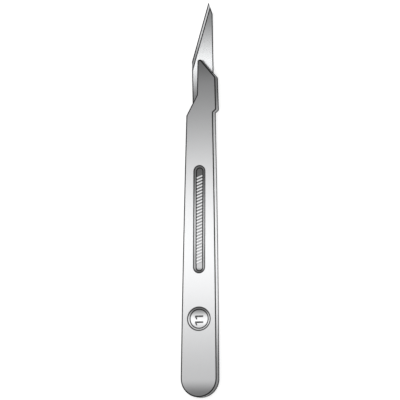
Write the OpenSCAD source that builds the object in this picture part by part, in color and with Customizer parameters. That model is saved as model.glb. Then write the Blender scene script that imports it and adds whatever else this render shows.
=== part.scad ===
// Disposable scalpel, lying on its back face with the cutting edge towards -X.
// X runs across the handle, Y from the butt to the tip of the blade, and Z up from
// the surface it lies on. The origin is under the middle of the whole instrument.
// Inside the modules Y counts from the butt, and place() moves each piece home.

/* [Handle] */
// Length of the grip, from the butt to the foot of the slope beside the blade
grip_len = 103.8; // [90:0.1:130]
// Width across the round butt, the widest place
butt_w = 13.9; // [12.8:0.1:18]
// Width at the front end of the grip
neck_w = 10.4; // [8:0.1:12]
// Swelling of each side past a straight taper, halfway along the grip
belly = 0.17; // [0:0.01:0.6]
// Thickness of the whole moulding
handle_t = 3.8; // [3:0.1:6]
// Radius that breaks every outer edge of the moulding
edge_r = 0.4; // [0.1:0.05:0.6]
// Radius of the corners in plan
corner_r = 0.7; // [0.6:0.05:1.2]

/* [Nose] */
// Length of the slope that leads from the grip to the nose, on the cutting side
slope_len = 7.6; // [5:0.1:12]
// Length of the nose, from the top of that slope to its tip
nose_len = 13.3; // [10:0.1:18]
// Reach of the nose to the cutting side of the axis, at its root
nose_root_x = 1.2; // [0.8:0.05:2]
// Reach of the nose to the cutting side of the axis, at its tip
nose_tip_x = 1; // [0.6:0.05:1.5]
// Radius of the tip of the nose
nose_tip_r = 0.9; // [0.6:0.05:1.4]
// Reach of the shoulder behind the blade, at its foot
shoulder_x = 6.4; // [5.8:0.05:7]
// Narrowing of the shoulder from its foot to its top
shoulder_taper = 0.4; // [0:0.05:0.8]
// Length of the shoulder's straight side
shoulder_len = 11.5; // [8:0.1:14]
// Distance from the end of the grip to the step out to the shoulder
step_gap = 1.5; // [0.5:0.1:4]
// Length of the slanted step out to the shoulder
step_len = 1; // [0.5:0.1:2]

/* [Grip pocket] */
// Distance from the butt to the near end of the pocket
pocket_y = 45.8; // [36:0.1:60]
// Length of the pocket at the surface
pocket_len = 39.6; // [25:0.1:45]
// Width of the pocket at the surface
pocket_w = 4.2; // [3:0.1:6]
// Width of the sloping wall round the pocket and the number's dish
wall_slope = 0.7; // [0.3:0.05:1]
// Depth of the pocket
pocket_depth = 0.5; // [0.4:0.05:1]
// Spacing of the ribs along the handle
rib_pitch = 1.16; // [1:0.02:2]
// Slant of the ribs
rib_tilt = 22; // [0:1:40]
// Height of a rib above the pocket's floor
rib_h = 0.3; // [0.1:0.05:0.4]
// Width of a rib at the floor, across the rib
rib_base = 0.8; // [0.6:0.02:0.88]
// Width of a rib's flat top
rib_top = 0.5; // [0.2:0.02:0.56]
// Distance from the pocket's end to the middle of the first rib
rib_margin = 3.6; // [3:0.1:8]

/* [Number dish] */
// Distance from the butt to the middle of the dish
dish_y = 28.9; // [22:0.1:34]
// Diameter of the dish at the surface
dish_d = 8.6; // [6:0.1:10]
// Depth of the dish
dish_depth = 0.35; // [0.2:0.05:1]

/* [Blade] */
// Length of the blade's back and tip together, from the heel
blade_len = 38.9; // [34:0.1:44]
// How far the blade reaches past the nose
blade_reach = 21.3; // [16:0.1:30]
// Distance from the axis to the tip of the blade, on the side away from the edge
tip_x = 2.7; // [1.5:0.1:4]
// Lean of the whole blade to the cutting side, in degrees
blade_lean = 1.2; // [0:0.1:3]
// Width of the blade
blade_w = 8.2; // [7:0.05:9]
// Thickness of the blade
blade_t = 0.4; // [0.3:0.02:0.6]
// Length of the cutting edge, measured along the blade
edge_len = 21.7; // [16:0.1:26]
// Width of the ground bevel at the cutting edge
bevel_w = 1; // [0.5:0.05:1.6]
// Distance from the tip to the line of the back, across the blade
tip_drop = 1.5; // [0.8:0.05:2.5]
// Length of the slanted end of the back, measured along the blade
clip_len = 4.4; // [2:0.1:8]
// How much further the heel reaches at the cutting side than at the back
heel_slant = 1.7; // [0:0.1:3]
// Length of the slot in the blade
slot_len = 10; // [6:0.1:12]
// Width of the slot in the blade
slot_w = 2.6; // [1.6:0.1:3]
// Distance from the heel, at the back, to the slot
slot_gap = 3.4; // [2.5:0.1:5]
// Clearance all round between the blade and the moulding
blade_fit = 0.02; // [0.01:0.01:0.1]

/* [Hidden] */

nose_tip_y = grip_len + slope_len + nose_len;
overall_len = nose_tip_y + blade_reach;

// Middles of the moulding's corners, each one a pillar of radius corner_r
slope_foot = [corner_r - neck_w / 2, grip_len];
slope_top = [corner_r - nose_root_x, grip_len + slope_len];
step_foot = [neck_w / 2 - corner_r, grip_len + step_gap];
shoulder_foot = [shoulder_x - corner_r, step_foot.y + step_len];
shoulder_top = [shoulder_foot.x - shoulder_taper, shoulder_foot.y + shoulder_len];
nose_tip = [nose_tip_r - nose_tip_x, nose_tip_y - nose_tip_r];

// Middle of a corner on a swelling side of the grip, at a share s of its length
function side_corner(side, s) = [
  side * ((1 - s) * butt_w / 2 + s * neck_w / 2 + 4 * belly * s * (1 - s) - corner_r),
  (1 - s) * butt_w / 2 + s * grip_len
];

rib_count = floor((pocket_len - 2 * rib_margin) / rib_pitch) + 1;

// Corners of the blade's outline, counted from its tip before it leans
side_x = tip_drop - blade_w;
heel_side = [side_x, -blade_len - heel_slant];
heel_back = [tip_drop, -blade_len];
clip_foot = [tip_drop, -clip_len];
edge_foot = [side_x, -edge_len];
edge_run = norm(edge_foot);
edge_angle = atan2(-edge_foot.y, -edge_foot.x);
slot_mid = [tip_drop - blade_w / 2, slot_gap + slot_len / 2 - blade_len];

// Allowance that carries a cutting shape past the surface it opens
past = 1;
edge_steps = 4;
belly_steps = 6;

// Moves a piece from its place counted from the butt to its place on the surface
module place() {
  translate([0, -overall_len / 2, 0]) children();
}

// Upright pillar as thick as the handle, with both of its rims rounded
module pillar(middle, r, sides = 32) {
  translate(middle)
    for (a = [0 : 90 / edge_steps : 90]) {
      sunk = edge_r * (1 - sin(a));
      translate([0, 0, sunk])
        cylinder(r = r - edge_r * (1 - cos(a)), h = handle_t - 2 * sunk, $fn = sides);
    }
}

// The moulding before anything is sunk into it: grip, root of the nose, and nose
module blank() {
  hull() {
    pillar([0, butt_w / 2], butt_w / 2, 96);
    for (side = [-1, 1], i = [1 : belly_steps - 1])
      pillar(side_corner(side, i / belly_steps), corner_r);
    pillar(slope_foot, corner_r);
    pillar(step_foot, corner_r);
  }
  hull() {
    for (corner = [slope_foot, step_foot, shoulder_foot, shoulder_top, slope_top])
      pillar(corner, corner_r);
  }
  hull() {
    for (corner = [shoulder_foot, shoulder_top, slope_top])
      pillar(corner, corner_r);
    pillar(nose_tip, nose_tip_r);
  }
}

// Slanted rib with a flat top, standing on the floor of the grip pocket
module rib() {
  rotate([90, 0, 90 + rib_tilt])
    linear_extrude(2 * pocket_w, center = true)
      polygon([
        [-rib_base / 2, -past], [rib_base / 2, -past],
        [rib_base / 2, 0], [rib_top / 2, rib_h],
        [-rib_top / 2, rib_h], [-rib_base / 2, 0]
      ]);
}

// Space of the grip pocket below a surface at Z 0, with the ribs left standing
module grip_pocket() {
  wall_run = wall_slope * (1 + past / pocket_depth);
  difference() {
    hull()
      for (y = [pocket_w / 2, pocket_len - pocket_w / 2])
        translate([0, y, -pocket_depth])
          cylinder(r1 = pocket_w / 2 - wall_slope, r2 = pocket_w / 2 - wall_slope + wall_run,
                   h = pocket_depth + past, $fn = 48);
    for (i = [0 : rib_count - 1])
      translate([0, pocket_len / 2 + (i - (rib_count - 1) / 2) * rib_pitch, -pocket_depth])
        rib();
  }
}

// Space of the shallow dish that holds the blade's number
module dish() {
  floor_r = dish_d / 2 - wall_slope;
  translate([0, dish_y, handle_t - dish_depth])
    cylinder(r1 = floor_r, r2 = floor_r + wall_slope * (1 + past / dish_depth),
             h = dish_depth + past, $fn = 96);
}

// Carries an outline counted from the blade's tip into the middle of the thickness
module lay_blade(thickness) {
  translate([tip_x, overall_len, handle_t / 2])
    rotate([0, 0, blade_lean])
      linear_extrude(thickness, center = true) children();
}

// Slot in the blade, or with a clearance the key of the moulding that fills it
module slot_shape(clearance = 0) {
  r = slot_w / 2;
  translate(slot_mid) {
    for (end = [-1, 1])
      translate([0, end * (slot_len / 2 - r)]) circle(r = r - clearance, $fn = 48);
    square([slot_w - 2 * clearance, slot_len - slot_w], center = true);
  }
}

// Space that the blade takes up in the moulding, round the key
module blade_space() {
  lay_blade(blade_t + 2 * blade_fit)
    difference() {
      polygon([
        heel_side - [blade_fit, blade_fit], heel_back + [blade_fit, -blade_fit],
        [tip_drop + blade_fit, past - blade_reach], [side_x - blade_fit, past - blade_reach]
      ]);
      slot_shape(blade_fit);
    }
}

// The two ground faces: each takes off what lies over a plane through the edge
module grind() {
  bevel_angle = atan2(blade_t / 2, bevel_w);
  translate([tip_x, overall_len, handle_t / 2])
    rotate([0, 0, blade_lean + edge_angle])
      for (face = [-1, 1])
        rotate([-face * bevel_angle, 0, 0])
          translate([-edge_run / 2, 0, face * blade_w])
            cube([3 * edge_run, 2 * blade_w, 2 * blade_w], center = true);
}

module handle() {
  color("silver")
    place()
      difference() {
        blank();
        for (turn = [0, 180])
          translate([0, pocket_y, handle_t / 2])
            rotate([0, turn, 0])
              translate([0, 0, handle_t / 2]) grip_pocket();
        dish();
        blade_space();
      }
}

module blade() {
  color("gainsboro")
    place()
      difference() {
        lay_blade(blade_t)
          difference() {
            polygon([heel_side, heel_back, clip_foot, -clip_foot / 2, [side_x, 0]]);
            slot_shape();
          }
        grind();
      }
}

handle();
blade();
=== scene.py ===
from math import acos, atan2, ceil, cos, hypot, pi, radians, sin, tan

import bmesh
import bpy
from mathutils import Matrix, Vector
from mathutils.geometry import delaunay_2d_cdt
from mathutils.kdtree import KDTree


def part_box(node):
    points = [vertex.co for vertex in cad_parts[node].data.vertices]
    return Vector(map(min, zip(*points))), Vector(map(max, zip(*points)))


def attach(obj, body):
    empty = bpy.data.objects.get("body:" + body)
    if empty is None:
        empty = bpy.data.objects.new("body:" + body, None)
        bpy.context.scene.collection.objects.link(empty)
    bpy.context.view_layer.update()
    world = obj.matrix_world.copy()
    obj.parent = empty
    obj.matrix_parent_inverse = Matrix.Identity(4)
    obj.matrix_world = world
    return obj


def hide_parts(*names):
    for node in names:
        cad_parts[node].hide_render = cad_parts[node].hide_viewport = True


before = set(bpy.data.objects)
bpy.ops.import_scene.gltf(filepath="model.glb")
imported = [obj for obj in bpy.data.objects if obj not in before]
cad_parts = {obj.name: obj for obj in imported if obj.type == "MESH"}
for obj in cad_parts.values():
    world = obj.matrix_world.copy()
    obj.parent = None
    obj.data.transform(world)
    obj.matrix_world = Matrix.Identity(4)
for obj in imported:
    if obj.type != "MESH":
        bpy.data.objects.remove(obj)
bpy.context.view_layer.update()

mm = 0.001
handleLow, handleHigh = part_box("handle")
bladeLow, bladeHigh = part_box("blade")
buttY = handleLow.y / mm         # the pieces are counted from the butt of the handle, in mm
topZ = handleHigh.z / mm         # upper face of the handle
midZ = topZ / 2
bladeTip = bladeHigh.y / mm - buttY


def fromButt(x, y, z):
    return Vector((x, y + buttY, z)) * mm


# Camera

cameraLook = {
    "place": (679.3, -225.9, 2348.5),  # mm, far over the right side of the handle
    "aim": (-0.28, -0.15, 1.9),
    "roll": 0.21,                      # degrees, anticlockwise
    "lens": 600,                       # mm, as the sensor's width
    "sensor": 36,
    "nearest": 0.01,                   # m, what lies closer isn't seen
}


def lookingAt(place, aim):             # stands at the place, faces the aim, and keeps the tip side up
    back = (place - aim).normalized()
    right = Vector((0, 1, 0)).cross(back).normalized()
    turn = Matrix((right, back.cross(right), back)).transposed().to_4x4()
    return Matrix.Translation(place) @ turn


def makeCamera(look):
    data = bpy.data.cameras.new("studioCamera")
    data.lens = look["lens"]
    data.sensor_width = look["sensor"]
    data.clip_start = look["nearest"]
    camera = bpy.data.objects.new("studioCamera", data)
    bpy.context.scene.collection.objects.link(camera)
    stand = lookingAt(Vector(look["place"]) * mm, Vector(look["aim"]) * mm)
    camera.matrix_world = stand @ Matrix.Rotation(radians(look["roll"]), 4, "Z")
    bpy.context.scene.camera = camera


makeCamera(cameraLook)
print("camera", cameraLook["place"])

# Mesh helpers


class SoftMesh:                      # a mesh that knows the true normal and tones of every point; the tones are masks of painted shade and painted dark lines
    def __init__(self):
        self.bm = bmesh.new()
        self.points = []

    def ring(self, samples):
        verts = []
        for co, normal, tones in samples:
            verts.append(self.bm.verts.new(co))
            self.points.append((co, normal, tones))
        return verts

    def join(self, low, high, first=0, rest=0):      # first and rest are places of materials
        for i in range(len(low)):
            j = (i + 1) % len(low)
            face = self.bm.faces.new((low[i], low[j], high[j], high[i]))
            face.material_index = rest if i else first

    def fill(self, outside, *holes):  # flat face between an outline and the rims of what is sunk into it
        verts, edges, owner = [], [], []
        for number, ring in enumerate((outside, *holes)):
            edges += [(len(verts) + i, len(verts) + (i + 1) % len(ring)) for i in range(len(ring))]
            verts += ring
            owner += [number] * len(ring)
        flat = [Vector((v.co.x, v.co.y)) / mm for v in verts]
        for triangle in delaunay_2d_cdt(flat, edges, [], 1, 1e-6)[2]:
            rings = {owner[i] for i in triangle}
            if len(rings) > 1 or rings == {0}:
                self.bm.faces.new([verts[i] for i in triangle])

    def finish(self, name):
        bmesh.ops.recalc_face_normals(self.bm, faces=self.bm.faces)
        mesh = bpy.data.meshes.new(name)
        self.bm.to_mesh(mesh)
        self.bm.free()
        self.dress(mesh)
        piece = bpy.data.objects.new(name, mesh)
        bpy.context.scene.collection.objects.link(piece)
        return piece

    def dress(self, mesh):           # gives each vertex the tones and the normal of its point
        tree = KDTree(len(self.points))
        for i, (co, _, _) in enumerate(self.points):
            tree.insert(co, i)
        tree.balance()
        nearest = [self.points[tree.find(v.co)[1]] for v in mesh.vertices]
        for name in sorted({key for point in self.points for key in point[2]}):
            layer = mesh.attributes.new(name, "FLOAT", "POINT")
            for i, point in enumerate(nearest):
                layer.data[i].value = point[2].get(name, 0)
        near = cos(radians(60))      # a point's normal further than this off its face isn't used there
        normals = [None] * len(mesh.loops)
        for face in mesh.polygons:
            face.use_smooth = True
            for k in face.loop_indices:
                normal = nearest[mesh.loops[k].vertex_index][1]
                fits = normal and normal.dot(face.normal) > near
                normals[k] = normal if fits else face.normal.copy()
        mesh.normals_split_custom_set(normals)


def softMin(a, b, k):                # the lesser of two values, rounded over k where they cross
    h = min(max(0.5 + 0.5 * (b - a) / k, 0), 1)
    return b + (a - b) * h - k * h * (1 - h)


def softMax(a, b, k):
    return -softMin(-a, -b, k)


def lineAt(value, middle, width):    # 1 on the line, 0 beside it, and half at its two borders
    return min(max(1.5 - 2 * abs(value - middle) / width, 0), 1)


def ease(low, high, value):          # 0 at low, 1 at high, and a smooth rise between them
    share = min(max((value - low) / (high - low), 0), 1)
    return share * share * (3 - 2 * share)


# Handle

handleSize = {                       # mm
    "gripLength": 103.8,
    "buttWidth": 13.9,
    "neckWidth": 10.4,
    "belly": 0.17,                   # swelling of each side halfway along the grip
    "edgeRadius": 0.4,
    "cornerRadius": 0.7,
    "slopeLength": 7.6,
    "noseLength": 13.3,
    "noseRootX": 1.2,
    "noseTipX": 1.0,
    "noseTipRadius": 0.9,
    "shoulderX": 6.4,
    "shoulderTaper": 0.4,
    "shoulderLength": 11.5,
    "stepGap": 1.5,
    "stepLength": 1.0,
    "slopeFillet": 1.0,              # radius inside the corner between slope and nose
    "stepFillet": 0.5,               # radius inside the corner under the shoulder
    "pocketY": 45.8,
    "pocketLength": 39.6,
    "pocketWidth": 4.2,
    "pocketDepth": 0.5,
    "wallRun": 0.7,                  # width of the sloping wall round pocket and dish
    "ribPitch": 1.16,
    "ribTilt": 22,                   # degrees
    "ribHeight": 0.3,
    "ribBase": 0.8,
    "ribTop": 0.5,
    "ribMargin": 3.6,
    "dishY": 28.9,
    "dishDiameter": 8.6,
    "dishDepth": 0.35,
    "softening": 0.1,                # how gently the moulded corners run out
    "edgeLine": 0.36,                # width of the painted dark line (painted shade) along the outer edges, past their rounding
    "lineRise": (26, 50),            # degrees of the rounding between which that line comes up
    "footLine": 1.5,                 # height of the band of painted shade along the foot of the walls
    "footFade": 0.45,                # half the height over which it fades
    "footGrowth": 0.15,              # share by which it is higher at both ends of the handle
    "footGrowthNose": (98, 115),     # where that growth begins and where it is full
    "footGrowthButt": (33, 11),
    "rimLine": 0.4,                  # width of the painted dark lines (painted shade) round pocket and dish
    "lineGap": 0.82,                 # from the line at a rim to the line at the foot of its wall
    "wallLean": 0.45,                # share of a sunk wall's slope that its shading shows
    "grooveRise": (0.2, 0.8),        # share of a rib's height, from its top, where the shade comes in
    "bowlTip": (1.08, -0.1, 0.85),   # shade of the dish's floor, and where it begins and is full
    "bowlButt": (0.38, 0.3, 0.7),
    "bowlLift": 0.35,                # painted light: how much lighter the whole floor is
}
probe = 0.01                         # mm to each side of a point where its slope is measured


def beltAngle(a, b):                 # direction in which a belt round both pulleys faces outwards
    dx, dy = b[0] - a[0], b[1] - a[1]
    return atan2(dy, dx) - acos((a[2] - b[2]) / hypot(dx, dy))


def insideCorner(before, corner, after, fillet):     # a pulley that the belt passes on its inner side
    angles = (beltAngle(before, corner), beltAngle(corner, after))
    first, second = (Vector((cos(a), sin(a))) for a in angles)
    shift = (first + second) * (corner[2] + fillet) / (1 + first.dot(second))
    return corner[0] + shift.x, corner[1] + shift.y, -fillet


def beltOutline(pulleys, finest=radians(4)):         # points of the belt, each with its normal
    outline = []
    for i, (x, y, r) in enumerate(pulleys):
        start = beltAngle(pulleys[i - 1], pulleys[i])
        end = beltAngle(pulleys[i], pulleys[(i + 1) % len(pulleys)])
        turn = (end - start + pi / 2) % (2 * pi) - pi / 2
        steps = ceil(abs(turn) / finest)
        angles = [start + turn / 2]
        if steps > 1:
            angles = [start + turn * k / steps for k in range(steps + 1)]
        outline += [(x + r * cos(a), y + r * sin(a), cos(a), sin(a)) for a in angles]
    return outline


def handlePulleys(size, bellySteps=24):              # middle and radius of every corner of the moulding
    corner = size["cornerRadius"]
    buttRadius = size["buttWidth"] / 2
    gripEnd = size["gripLength"]

    def sideCorner(side, s):
        half = (1 - s) * buttRadius + s * size["neckWidth"] / 2 + 4 * size["belly"] * s * (1 - s)
        return side * (half - corner), (1 - s) * buttRadius + s * gripEnd, corner

    slopeFoot = (corner - size["neckWidth"] / 2, gripEnd, corner)
    slopeTop = (corner - size["noseRootX"], gripEnd + size["slopeLength"], corner)
    stepFoot = (size["neckWidth"] / 2 - corner, gripEnd + size["stepGap"], corner)
    shoulderFoot = (size["shoulderX"] - corner, stepFoot[1] + size["stepLength"], corner)
    topX = shoulderFoot[0] - size["shoulderTaper"]
    shoulderTop = (topX, shoulderFoot[1] + size["shoulderLength"], corner)
    tipRadius = size["noseTipRadius"]
    tipY = slopeTop[1] + size["noseLength"]
    noseTip = (tipRadius - size["noseTipX"], tipY - tipRadius, tipRadius)
    rising = [sideCorner(1, i / bellySteps) for i in range(1, bellySteps)]
    falling = [sideCorner(-1, i / bellySteps) for i in range(bellySteps - 1, 0, -1)]
    return [
        (0, buttRadius, buttRadius), *rising,
        insideCorner(rising[-1], stepFoot, shoulderFoot, size["stepFillet"]),
        shoulderFoot, shoulderTop, noseTip,
        insideCorner(noseTip, slopeTop, slopeFoot, size["slopeFillet"]),
        slopeFoot, *falling,
    ]


def sunkDepth(size, depth, inward):  # how deep a sloping wall has come, this far in from its rim
    k = size["softening"]
    return softMax(0, softMin(depth, inward * depth / size["wallRun"], k), k)


def rimLines(size, inward):          # strength of the painted dark lines (painted shade) at the rim and at the foot of its wall
    return lineAt(inward, 0, size["rimLine"]) + lineAt(inward, size["lineGap"], size["rimLine"])


def rimInsets(size):                 # the middle of each line, and on both sides where it is full and gone
    line = size["rimLine"]
    rim = [-line * 0.75, -line / 4, 0, line / 4, line * 0.75]
    return rim + [size["lineGap"] + inset for inset in rim]


def ribCount(size):
    return int((size["pocketLength"] - 2 * size["ribMargin"]) / size["ribPitch"]) + 1


def ribRise(size, x, y):             # height of the ribs over the floor; y from the middle of the pocket
    slant = radians(size["ribTilt"])
    last = ribCount(size) - 1
    along = y - x * tan(slant)
    index = min(max(round(along / size["ribPitch"] + last / 2), 0), last)
    off = abs(along - (index - last / 2) * size["ribPitch"]) * cos(slant)
    flank = 2 * size["ribHeight"] / (size["ribBase"] - size["ribTop"])
    k = size["softening"]
    return softMax(0, softMin(size["ribHeight"], (size["ribBase"] / 2 - off) * flank, k), k)


def outerWall(shape, size):          # from a ring on the lower face up to one on the upper face
    outline = beltOutline(handlePulleys(size))
    r, line = size["edgeRadius"], size["edgeLine"]
    lineFrom, lineTo = (radians(a) for a in size["lineRise"])
    edgeSteps = 8
    upper = []                       # inset, height, angle of the normal, strength of the line
    for k in range(edgeSteps + 1):
        a = radians(90) * k / edgeSteps
        upper.append((r * (1 - cos(a)), topZ - r + r * sin(a), a, ease(lineFrom, lineTo, a)))
    upper += [(r + line / 8, topZ, radians(90), 1), (r + line / 2, topZ, radians(90), 0)]
    lower = [(inset, topZ - z, -a, mask) for inset, z, a, mask in reversed(upper)]
    rings = []
    upright = [(0, z / 4, 0, 0) for z in range(2, 13)]       # a ring at every quarter of a millimetre
    for inset, z, a, mask in lower + upright + upper:
        wall = 1 - ease(0, radians(60), abs(a))
        ring = []
        for x, y, nx, ny in outline:
            ends = ease(*size["footGrowthNose"], y) + ease(*size["footGrowthButt"], y)
            foot = size["footLine"] * (1 + size["footGrowth"] * ends)
            fade = size["footFade"]
            inFoot = 1 - ease(foot - fade, foot + fade, z)
            # masks of painted shade: the dark edge line, the side walls shaded near nose and butt, and the
            # dark band at their foot
            tones = {"edgeLine": mask, "wall": wall, "foot": wall * inFoot}
            normal = Vector((nx * cos(a), ny * cos(a), sin(a)))
            ring.append((fromButt(x - inset * nx, y - inset * ny, z), normal, tones))
        rings.append(shape.ring(ring))
    for low, high in zip(rings, rings[1:]):
        shape.join(low, high)
    return rings[0], rings[-1]


def sinkPocket(shape, size, face):   # face is 1 for the upper face and -1 for the lower one
    reach = size["pocketLength"] / 2 - size["pocketWidth"] / 2
    slant = radians(size["ribTilt"])

    def inwardAt(x, y):              # how far in from the rim a place lies
        return size["pocketWidth"] / 2 - hypot(x, max(abs(y) - reach, 0))

    def depthAt(x, y):               # the ribs end where the wall's foot and its line do
        inward = inwardAt(x, y)
        ended = ease(size["wallRun"], size["lineGap"] + size["rimLine"] / 2, inward)
        ribbed = size["pocketDepth"] - ended * ribRise(size, x, y)
        return min(sunkDepth(size, size["pocketDepth"], inward), ribbed)

    def sample(x, y):
        depth = depthAt(x, y)
        dx = (depthAt(x + probe, y) - depthAt(x - probe, y)) / (2 * probe)
        dy = (depthAt(x, y + probe) - depthAt(x, y - probe)) / (2 * probe)
        inward = inwardAt(x, y)
        onWall = inward < size["wallRun"]
        lean = size["wallLean"] if onWall else 1
        normal = Vector((dx * lean, dy * lean, 1)).normalized()
        fromTop = 1 - (size["pocketDepth"] - depth) / size["ribHeight"]
        # masks of painted shade: the dark rim lines, the shaded wall and the shade between the ribs
        tones = {
            "edgeLine": rimLines(size, inward),
            "wallShade": 1 if onWall and inward >= 0 else 0,
            "shade": 0 if onWall else ease(*size["grooveRise"], fromTop),
        }
        middle = size["pocketY"] + size["pocketLength"] / 2
        return (fromButt(face * x, middle + y, midZ + face * (midZ - depth)),
                Vector((face * normal.x, normal.y, face * normal.z)), tones)

    half, top = size["ribBase"] / 2, size["ribTop"] / 2
    soft = size["softening"] * (size["ribBase"] - size["ribTop"]) / (2 * size["ribHeight"])
    rows = [0, top - soft, top + soft, half - soft, half + soft, size["ribPitch"] * cos(slant) / 2]
    rows = sorted({round(sign * row, 4) for row in rows for sign in (-1, 1)})[1:]
    stations = []                    # along the pocket: the borders of every rib, then three at each end
    for i in range(ribCount(size)):
        rib = (i - (ribCount(size) - 1) / 2) * size["ribPitch"]
        stations += [rib + row / cos(slant) for row in rows]
    endStep = 0.02 * reach
    ends = [reach - endStep * i for i in range(3)]
    stations = sorted([-e for e in ends] + stations + ends)

    def place(station, side, r):     # follows the slant of the ribs, and turns square at the ends
        fade = min((reach - abs(station)) / (reach - abs(stations[3])), 1)
        return side * r, station + side * r * tan(slant) * fade

    arcSteps = 28

    def arc(side, r):                # round end of the pocket, without its first and last point
        angles = [pi * i / arcSteps for i in range(1, arcSteps)]
        return [(side * r * cos(a), side * (reach + r * sin(a))) for a in angles]

    insets = rimInsets(size)
    floorWidth = size["pocketWidth"] / 2 - insets[-1]
    floorRings = 10
    insets += [insets[-1] + floorWidth * i / (floorRings + 0.5) for i in range(1, floorRings + 1)]
    rings = []
    for inset in insets:
        r = size["pocketWidth"] / 2 - inset
        points = [place(s, 1, r) for s in stations] + arc(1, r)
        points += [place(s, -1, r) for s in reversed(stations)] + arc(-1, r)
        rings.append(shape.ring([sample(x, y) for x, y in points]))
    for low, high in zip(rings, rings[1:]):
        shape.join(low, high)
    inner = rings[-1]                # closed by a strip between its sides and a cap at each end
    count = len(stations)
    left = inner[count + arcSteps - 1: 2 * count + arcSteps - 1][::-1]
    for i in range(count - 1):
        shape.bm.faces.new((inner[i], inner[i + 1], left[i + 1], left[i]))
    shape.bm.faces.new(inner[count - 1: count + arcSteps])
    shape.bm.faces.new(inner[2 * count + arcSteps - 2:] + inner[:1])
    return rings[0]


# painted shade on the dish's floor, darkest towards the tip, a little towards the butt, and painted lighter
# in the middle
def bowlShade(size, toTip):          # toTip is 1 at the rim towards the tip and -1 at the opposite one
    tipShade, tipFrom, tipFull = size["bowlTip"]
    buttShade, buttFrom, buttFull = size["bowlButt"]
    shade = tipShade * ease(tipFrom, tipFull, toTip) + buttShade * ease(buttFrom, buttFull, -toTip)
    return shade - size["bowlLift"]


def sinkDish(shape, size):
    radius = size["dishDiameter"] / 2
    insets = rimInsets(size)
    floorRings = 10
    insets += [insets[-1] + (radius - insets[-1]) * i / floorRings for i in range(1, floorRings)]
    steps = 96
    rings = []
    for inset in insets:
        places = (inset - probe, inset, inset + probe)
        before, depth, after = (sunkDepth(size, size["dishDepth"], place) for place in places)
        slope = size["wallLean"] * (after - before) / (2 * probe)
        mask = rimLines(size, inset)
        ring = []
        for i in range(steps):
            a = 2 * pi * i / steps
            bowl = bowlShade(size, (1 - inset / radius) * sin(a))
            # painted dark rim lines and painted shade of the floor
            tones = {"edgeLine": mask, "bowl": bowl if inset > 0 else 0}
            x, y = (radius - inset) * cos(a), (radius - inset) * sin(a)
            normal = Vector((-slope * cos(a), -slope * sin(a), 1)).normalized()
            ring.append((fromButt(x, size["dishY"] + y, topZ - depth), normal, tones))
        rings.append(shape.ring(ring))
    for low, high in zip(rings, rings[1:]):
        shape.join(low, high)
    shape.bm.faces.new(rings[-1])
    return rings[0]


def makeHandle(size):
    shape = SoftMesh()
    low, high = outerWall(shape, size)
    shape.fill(high, sinkPocket(shape, size, 1), sinkDish(shape, size))
    shape.fill(low, sinkPocket(shape, size, -1))
    return shape.finish("mouldedHandle")


handle = makeHandle(handleSize)
print("handle", len(handle.data.vertices), len(handle.data.polygons))
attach(handle, "root")
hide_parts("handle")

# Blade

bladeSize = {                        # mm, counted from the tip before the blade leans
    "tipX": 2.7,                     # tip to the axis of the handle
    "lean": 1.2,                     # degrees, to the cutting side
    "width": 8.2,
    "thickness": 0.4,
    "length": 38.9,
    "edgeLength": 21.7,
    "bevelWidth": 1.0,
    "tipDrop": 1.5,
    "clipLength": 4.4,
    "heelSlant": 1.7,
    "slotLength": 10.0,
    "slotWidth": 2.6,
    "slotGap": 3.4,
    "honedWidth": 0.44,              # the last, steeper grind at the very edge
    "honedRise": 0.1,
    "brokenEdge": 0.08,              # chamfer round the back, the clip and the heel
    "grindLine": 0.4,                # border where the bevel runs into the flat, painted dark as a line of shade
    "sideLine": 0.34,                # border along the chamfer behind the cutting edge, painted dark as a line of shade
    "backLine": 0.26,                # border along the chamfer of the back, the clip and the heel, painted dark likewise
}


def leaningBlade(size, x, y, z):
    a = radians(size["lean"])
    across, forward = x * cos(a) - y * sin(a), x * sin(a) + y * cos(a)
    return fromButt(size["tipX"] + across, bladeTip + forward, midZ + z)


def cornersInset(corners, insets):   # the outline, each of its sides moved in by a distance of its own
    moved = []
    for i, corner in enumerate(corners):
        before = corner - corners[i - 1]
        after = corners[(i + 1) % len(corners)] - corner
        first, second = (Vector((v.y, -v.x)).normalized() for v in (before, after))
        k, m = -insets[i - 1], -insets[i]
        det = first.x * second.y - first.y * second.x
        moved.append(corner + Vector((k * second.y - m * first.y, m * first.x - k * second.x)) / det)
    return moved


flatSteel, bevelSteel, paintedLineSteel = range(3)          # places of the blade's three materials, the last painted near black as edge lines of shade


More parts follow.
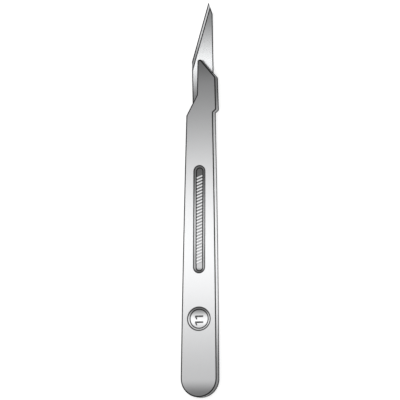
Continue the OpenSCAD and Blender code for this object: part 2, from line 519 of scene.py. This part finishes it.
def makeBlade(size):
    side = size["tipDrop"] - size["width"]
    corners = [Vector(c) for c in (  # the first side is the cutting edge
        (0, 0), (side, -size["edgeLength"]), (side, -size["length"] - size["heelSlant"]),
        (size["tipDrop"], -size["length"]), (size["tipDrop"], -size["clipLength"]))]
    half, broken, bevel = size["thickness"] / 2, size["brokenEdge"], size["bevelWidth"]
    sideBorder, backBorder = broken + size["sideLine"], broken + size["backLine"]
    levels = [                       # height, insets of edge, side and rest, and steel under the edge
        (size["honedRise"], size["honedWidth"], 0, 0, paintedLineSteel),
        (half - broken, bevel * (half - broken) / half, 0, 0, bevelSteel),
        (half, bevel, broken, broken, bevelSteel),
        (half, bevel + size["grindLine"], sideBorder, backBorder, paintedLineSteel),
    ]
    shape = SoftMesh()

    def ringAt(z, edge, side, rest):
        ring = cornersInset(corners, [edge, side, rest, rest, rest])
        return shape.ring([(leaningBlade(size, *c, z), None, {}) for c in ring])

    outline = ringAt(0, 0, 0, 0)
    faces = []
    for turn in (-1, 1):
        low = outline
        for z, *insets, steel in levels:
            high = ringAt(turn * z, *insets)
            shape.join(low, high, steel, paintedLineSteel)
            low = high
        faces.append(low)
    slotY = size["slotGap"] + size["slotLength"] / 2 - size["length"]
    middle = Vector((size["tipDrop"] - size["width"] / 2, slotY))
    r, reach = size["slotWidth"] / 2, (size["slotLength"] - size["slotWidth"]) / 2
    arcSteps = 24
    angles = [pi * i / arcSteps for i in range(arcSteps + 1)]
    end = [Vector((r * cos(a), reach + r * sin(a))) for a in angles]
    slot = [middle + c for c in end] + [middle - c for c in end]
    slotRings = []
    for z in (-half, half):
        slotRings.append(shape.ring([(leaningBlade(size, *c, z), None, {}) for c in slot]))
    shape.join(*slotRings)
    shape.fill(faces[0], slotRings[0])
    shape.fill(faces[1], slotRings[1])
    return shape.finish("groundBlade")


blade = makeBlade(bladeSize)
print("blade", len(blade.data.vertices), len(blade.data.polygons))
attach(blade, "root")
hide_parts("blade")

# Number in the dish

numberSize = {                       # mm
    "height": 3.1,
    "stroke": 0.62,
    "flagReach": 1.15,
    "flagDrop": 0.4,
    "flagWidth": 0.5,
    "flagStart": 0.8,                # share of half the stroke, where the flag leaves the top
    "flagRoot": 0.62,                # from the top down to where it meets the stem
    "stems": (-1.25, 0.92),          # from the middle of the dish, along the handle
    "relief": 0.1,
    "sunk": 0.03,
    "softTop": 0.05,
}


def makeNumber(size):
    half, top = size["stroke"] / 2, size["height"]
    flagX, flagY = -size["flagReach"], top - size["flagDrop"]
    one = [Vector(c) for c in (
        (-half, 0), (half, 0), (half, top), (-half * size["flagStart"], top),
        (flagX, flagY), (flagX, flagY - size["flagWidth"]), (-half, top - size["flagRoot"]))]
    floorZ = topZ - handleSize["dishDepth"]
    relief, soft = size["relief"], size["softTop"]
    levels = ((-size["sunk"], 0), (relief - soft, 0), (relief, soft))
    shape = SoftMesh()
    for stem in size["stems"]:
        stemY = handleSize["dishY"] + stem
        rings = []
        for z, inset in levels:
            ring = cornersInset(one, [inset] * len(one))
            places = [fromButt(top / 2 - c.y, stemY + c.x, floorZ + z) for c in ring]
            rings.append(shape.ring([(co, None, {}) for co in places]))
        for low, high in zip(rings, rings[1:]):
            shape.join(low, high)
        shape.fill(rings[0])
        shape.fill(rings[-1])
    return shape.finish("bladeNumber")


number = makeNumber(numberSize)
print("number", len(number.data.vertices), len(number.data.polygons))
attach(number, "root")

# Materials


def newGroup(name, inputs, outputs): # an empty group with its sockets
    group = bpy.data.node_groups.new(name, "ShaderNodeTree")
    for label, kind, value in inputs:
        group.interface.new_socket(name=label, in_out="INPUT", socket_type=kind).default_value = value
    for label, kind in outputs:
        group.interface.new_socket(name=label, in_out="OUTPUT", socket_type=kind)
    nodes = group.nodes
    return group, nodes, group.links.new, nodes.new("NodeGroupInput"), nodes.new("NodeGroupOutput")


def makeToneAlong():                 # a tone that runs from one value to another along the instrument
    group, nodes, link, given, out = newGroup("toneAlong", [
        ("Start Y", "NodeSocketFloat", 0), ("End Y", "NodeSocketFloat", 0.1),
        ("Start Tone", "NodeSocketFloat", 0), ("End Tone", "NodeSocketFloat", 1)],
        [("Tone", "NodeSocketFloat")])
    place = nodes.new("ShaderNodeTexCoord")
    split = nodes.new("ShaderNodeSeparateXYZ")
    blend = nodes.new("ShaderNodeMapRange")
    blend.interpolation_type = "SMOOTHSTEP"
    link(place.outputs["Object"], split.inputs[0])
    link(split.outputs["Y"], blend.inputs["Value"])
    ends = {"Start Y": "From Min", "End Y": "From Max", "Start Tone": "To Min", "End Tone": "To Max"}
    for label, end in ends.items():
        link(given.outputs[label], blend.inputs[end])
    link(blend.outputs["Result"], out.inputs["Tone"])
    return group


def makeFineGrain():                 # fine relief of moulded or ground surfaces, stretched by its scales
    group, nodes, link, given, out = newGroup("fineGrain", [
        ("Scale", "NodeSocketVector", (1000, 1000, 1000)), ("Height", "NodeSocketFloat", 0.1),
        ("Roughness", "NodeSocketFloat", 0.3), ("Roughness Spread", "NodeSocketFloat", 0.1)],
        [("Normal", "NodeSocketVector"), ("Roughness", "NodeSocketFloat")])
    place = nodes.new("ShaderNodeTexCoord")
    stretch = nodes.new("ShaderNodeVectorMath")
    stretch.operation = "MULTIPLY"
    noise = nodes.new("ShaderNodeTexNoise")
    noise.inputs["Scale"].default_value = 1
    noise.inputs["Detail"].default_value = 4
    bump = nodes.new("ShaderNodeBump")
    bump.inputs["Distance"].default_value = 0.02 * mm        # the whole depth of the grain
    spread = nodes.new("ShaderNodeMath")
    spread.operation = "MULTIPLY_ADD"
    centred = nodes.new("ShaderNodeMath")
    centred.operation = "SUBTRACT"
    centred.inputs[1].default_value = 0.5                    # the middle of the noise
    link(place.outputs["Object"], stretch.inputs[0])
    link(given.outputs["Scale"], stretch.inputs[1])
    link(stretch.outputs[0], noise.inputs["Vector"])
    link(noise.outputs[0], bump.inputs["Height"])
    link(given.outputs["Height"], bump.inputs["Strength"])
    link(noise.outputs[0], centred.inputs[0])
    link(centred.outputs[0], spread.inputs[0])
    link(given.outputs["Roughness Spread"], spread.inputs[1])
    link(given.outputs["Roughness"], spread.inputs[2])
    link(bump.outputs[0], out.inputs["Normal"])
    link(spread.outputs[0], out.inputs["Roughness"])
    return group


def makeShade():                     # lowers a tone where a mask is on
    group, nodes, link, given, out = newGroup("shadeBy", [
        ("Tone", "NodeSocketFloat", 1), ("Mask", "NodeSocketFloat", 0),
        ("Strength", "NodeSocketFloat", 0.5)],
        [("Tone", "NodeSocketFloat")])
    share = nodes.new("ShaderNodeMath")
    share.operation = "MULTIPLY"
    left = nodes.new("ShaderNodeMath")
    left.operation = "SUBTRACT"
    left.inputs[0].default_value = 1
    result = nodes.new("ShaderNodeMath")
    result.operation = "MULTIPLY"
    link(given.outputs["Mask"], share.inputs[0])
    link(given.outputs["Strength"], share.inputs[1])
    link(share.outputs[0], left.inputs[1])
    link(left.outputs[0], result.inputs[0])
    link(given.outputs["Tone"], result.inputs[1])
    link(result.outputs[0], out.inputs["Tone"])
    return group


toneAlong = makeToneAlong()
fineGrain = makeFineGrain()
shadeBy = makeShade()


class Recipe:                        # one material, and what is done while it is put together
    def __init__(self, name, metallic):
        self.material = bpy.data.materials.new(name)
        self.material.use_nodes = True
        self.nodes = self.material.node_tree.nodes
        self.link = self.material.node_tree.links.new
        self.shader = self.nodes["Principled BSDF"]
        self.shader.inputs["Metallic"].default_value = metallic

    def use(self, group, **values):
        node = self.nodes.new("ShaderNodeGroup")
        node.node_tree = group
        for label, value in values.items():
            socket = node.inputs[label.replace("_", " ")]
            if hasattr(value, "is_output"):
                self.link(value, socket)
            else:
                socket.default_value = value
        return node.outputs

    def mask(self, name):
        node = self.nodes.new("ShaderNodeAttribute")
        node.attribute_name = name
        return node.outputs["Fac"]

    def multiply(self, a, b):
        node = self.nodes.new("ShaderNodeMath")
        node.operation = "MULTIPLY"
        self.link(a, node.inputs[0])
        self.link(b, node.inputs[1])
        return node.outputs[0]

    def along(self, startY, endY, startTone, endTone):       # Y in mm from the middle of the instrument
        span = {"Start_Y": startY * mm, "End_Y": endY * mm}
        return self.use(toneAlong, **span, Start_Tone=startTone, End_Tone=endTone)["Tone"]

    def shaded(self, tone, mask, strength):
        return self.use(shadeBy, Tone=tone, Mask=self.mask(mask), Strength=strength)["Tone"]

    def colour(self, tone, tint):
        node = self.nodes.new("ShaderNodeVectorMath")
        node.operation = "SCALE"
        node.inputs[0].default_value = tint
        self.link(tone, node.inputs["Scale"])
        self.link(node.outputs[0], self.shader.inputs["Base Color"])

    def grain(self, scale, height, roughness, spread):
        surface = self.use(
            fineGrain, Scale=scale, Height=height, Roughness=roughness, Roughness_Spread=spread)
        self.link(surface["Normal"], self.shader.inputs["Normal"])
        self.link(surface["Roughness"], self.shader.inputs["Roughness"])


handleFinish = {                     # a stretch is a start Y, an end Y and the tone at each of them
    "tint": (0.985, 0.99, 1.0),
    "frontSheenTone": (52, -16.5, 0.21, 0.89),    # painted sheen: from the dark tip of the nose to the painted highlight in the middle
    "rearShadeTone": (-18, -70, 1, 0.58),         # painted shade: share of it that is left towards the butt
    "capShadeTone": (-66, -72, 1, 0.33),          # painted shade: share left at the very end of the butt
    "tipShadeTone": (52, 41.5, 0.6, 1),           # painted shade: share left at the tip of the nose
    # painted shade on the dark lines, in the pocket and dish, on the side walls and at their foot; where a
    # strength is negative it paints light
    "lineShade": 0.98,
    "grooveShade": (12.5, -27.5, 0.86, 0.32),
    "dishShade": 1,
    "pocketWallShade": (11, -8, 0.72, -0.1),
    "pocketSideShade": (-14, -24, 0, 0.3),
    "pocketEndShade": (-25, -26.6, 0, 0.75), # round the near end, where the wall faces the tip
    "noseWallShade": (42, 27, 0.82, 0),
    "buttWallShade": (-40, -65, 0, 0.72),
    "footShade": 0.95,
    "shine": 0.4,
    "metallic": 0.45,                # none of it is left in the painted dark lines
    "roughness": 0.36,
    "dullLine": 1.4,                 # how much rougher the painted dark lines are
    "grainScale": (5200, 5200, 5200),
    "grainHeight": 0.12,
    "roughnessSpread": 0.08,
}


def handleMaterial(look):
    recipe = Recipe("satinHandle", 0)
    # the base colour paints the handle's sheen along its length, then painted shade in its lines, recesses,
    # wall ends and foot
    tone = recipe.along(*look["frontSheenTone"])
    for stretch in ("rearShadeTone", "capShadeTone", "tipShadeTone"):
        tone = recipe.multiply(tone, recipe.along(*look[stretch]))
    tone = recipe.shaded(tone, "edgeLine", look["lineShade"])
    tone = recipe.shaded(tone, "shade", recipe.along(*look["grooveShade"]))
    tone = recipe.shaded(tone, "bowl", look["dishShade"])
    tone = recipe.shaded(tone, "wallShade", recipe.along(*look["pocketWallShade"]))
    tone = recipe.shaded(tone, "wallShade", recipe.along(*look["pocketSideShade"]))
    pocketEnd = recipe.along(*look["pocketEndShade"])
    tone = recipe.shaded(tone, "shade", pocketEnd)
    tone = recipe.shaded(tone, "wallShade", pocketEnd)
    tone = recipe.shaded(tone, "wall", recipe.along(*look["noseWallShade"]))
    tone = recipe.shaded(tone, "wall", recipe.along(*look["buttWallShade"]))
    tone = recipe.shaded(tone, "foot", look["footShade"])
    recipe.colour(tone, look["tint"])
    recipe.shader.inputs["Specular IOR Level"].default_value = look["shine"]
    metallic, rough = look["metallic"], look["roughness"]
    for line in ("edgeLine", "foot"):
        metallic = recipe.shaded(metallic, line, 1)
        rough = recipe.shaded(rough, line, -look["dullLine"])
    recipe.link(metallic, recipe.shader.inputs["Metallic"])
    recipe.grain(look["grainScale"], look["grainHeight"], rough, look["roughnessSpread"])
    return recipe.material


handle.data.materials.append(handleMaterial(handleFinish))
print("material", handle.data.materials[0].name)

bladeFinish = {                      # stretches as in the handle's finish
    "tint": (0.98, 0.99, 1.0),
    "nearHandleShade": (52.5, 37, 1, 0.17),       # painted shade: share of every tone that is left towards the handle
    "roughnessSpread": 0.1,
    "steels": {                      # in the order of the blade's places; marks are scale and height
        # each tone paints the steel's sheen along the blade: painted highlights running into painted shade
        "groundFlat": {"tone": (69, 47, 0.31, 1.0), "roughness": 0.28, "marks": ((9000, 300, 9000), 0.15)},
        "groundBevel": {"tone": (61, 51.5, 1.0, 0.45), "roughness": 0.22, "marks": ((300, 9000, 300), 0.2)},
        # the honed strip, the grind's border and the chamfers are painted near black as lines of shade
        "paintedEdgeLines": {"tone": (71, 50, 0.02, 0.03), "roughness": 0.3, "marks": ((9000, 300, 9000), 0.1)},
    },
}


def steelMaterial(name, steel, look):
    recipe = Recipe(name, 1.0)
    tone = recipe.multiply(recipe.along(*steel["tone"]), recipe.along(*look["nearHandleShade"]))
    recipe.colour(tone, look["tint"])
    recipe.grain(*steel["marks"], steel["roughness"], look["roughnessSpread"])
    return recipe.material


for name, steel in bladeFinish["steels"].items():
    blade.data.materials.append(steelMaterial(name, steel, bladeFinish))
    print("material", name)

inkFinish = {
    "tint": (0.98, 0.99, 1.0),
    "tone": (-40, -50, 0.09, 0.11),
    "metallic": 0.1,
    "roughness": 0.5,
    "roughnessSpread": 0.1,
    "grainScale": (4000, 4000, 4000),
    "grainHeight": 0.1,
}


def inkMaterial(look):
    recipe = Recipe("numberInk", look["metallic"])
    recipe.colour(recipe.along(*look["tone"]), look["tint"])
    recipe.grain(look["grainScale"], look["grainHeight"], look["roughness"], look["roughnessSpread"])
    return recipe.material


number.data.materials.append(inkMaterial(inkFinish))
print("material", number.data.materials[0].name)

# Floor and light

roomLook = {
    "floorRadius": 12,               # m
    "floorDrop": 0.02,               # mm, from the instrument to the floor under it
    "floorTone": 0.8,
    "floorRoughness": 0.9,
    "floorLift": 0.56,               # extra brightness of the floor as it is seen, directly or in the metal
    "worldTone": 0.55,
    "lamps": {                       # place and aim in mm, size in m; mirrored: seen in glossy surfaces
        "softbox": {
            "place": (-120, 5, 300), "aim": (-20, -17, 0), "size": (0.4, 0.14), "power": 0.245,
            "mirrored": True},
        "sideFill": {
            "place": (320, -20, 50), "aim": (0, -10, 0), "size": (0.2, 0.08), "power": 0.66,
            "mirrored": False},
    },
}


def makeFloor(look):
    bm = bmesh.new()
    bmesh.ops.create_circle(bm, cap_ends=True, segments=96, radius=look["floorRadius"])
    mesh = bpy.data.meshes.new("floor")
    bm.to_mesh(mesh)
    bm.free()
    floor = bpy.data.objects.new("floor", mesh)
    bpy.context.scene.collection.objects.link(floor)
    floor.location.z = -look["floorDrop"] * mm
    recipe = Recipe("paleFloor", 0)
    recipe.shader.inputs["Base Color"].default_value = (look["floorTone"],) * 3 + (1,)
    recipe.shader.inputs["Roughness"].default_value = look["floorRoughness"]
    recipe.shader.inputs["Specular IOR Level"].default_value = 0
    rays = recipe.nodes.new("ShaderNodeLightPath")
    seen = rays.outputs["Is Camera Ray"]
    for kind in ("Is Glossy Ray", "Is Transmission Ray"):
        either = recipe.nodes.new("ShaderNodeMath")
        either.operation = "MAXIMUM"
        recipe.link(seen, either.inputs[0])
        recipe.link(rays.outputs[kind], either.inputs[1])
        seen = either.outputs[0]
    lift = recipe.nodes.new("ShaderNodeMath")
    lift.operation = "MULTIPLY"
    lift.inputs[1].default_value = look["floorLift"]
    recipe.link(seen, lift.inputs[0])
    recipe.shader.inputs["Emission Color"].default_value = (1, 1, 1, 1)
    recipe.link(lift.outputs[0], recipe.shader.inputs["Emission Strength"])
    mesh.materials.append(recipe.material)


def makeWorld(look):
    world = bpy.data.worlds.new("studio")
    world.use_nodes = True
    world.node_tree.nodes["Background"].inputs["Color"].default_value = (look["worldTone"],) * 3 + (1,)
    bpy.context.scene.world = world


def areaLight(name, look):
    data = bpy.data.lights.new(name, "AREA")
    data.shape = "RECTANGLE"
    data.size, data.size_y = look["size"]
    data.energy = look["power"]
    lamp = bpy.data.objects.new(name, data)
    lamp.visible_glossy = look["mirrored"]
    bpy.context.scene.collection.objects.link(lamp)
    lamp.matrix_world = lookingAt(Vector(look["place"]) * mm, Vector(look["aim"]) * mm)


makeFloor(roomLook)
makeWorld(roomLook)
print("floor and world", roomLook["floorTone"], roomLook["worldTone"])
for name, lamp in roomLook["lamps"].items():
    areaLight(name, lamp)
    print("lamp", name)
bpy.context.scene.view_settings.view_transform = "Standard"
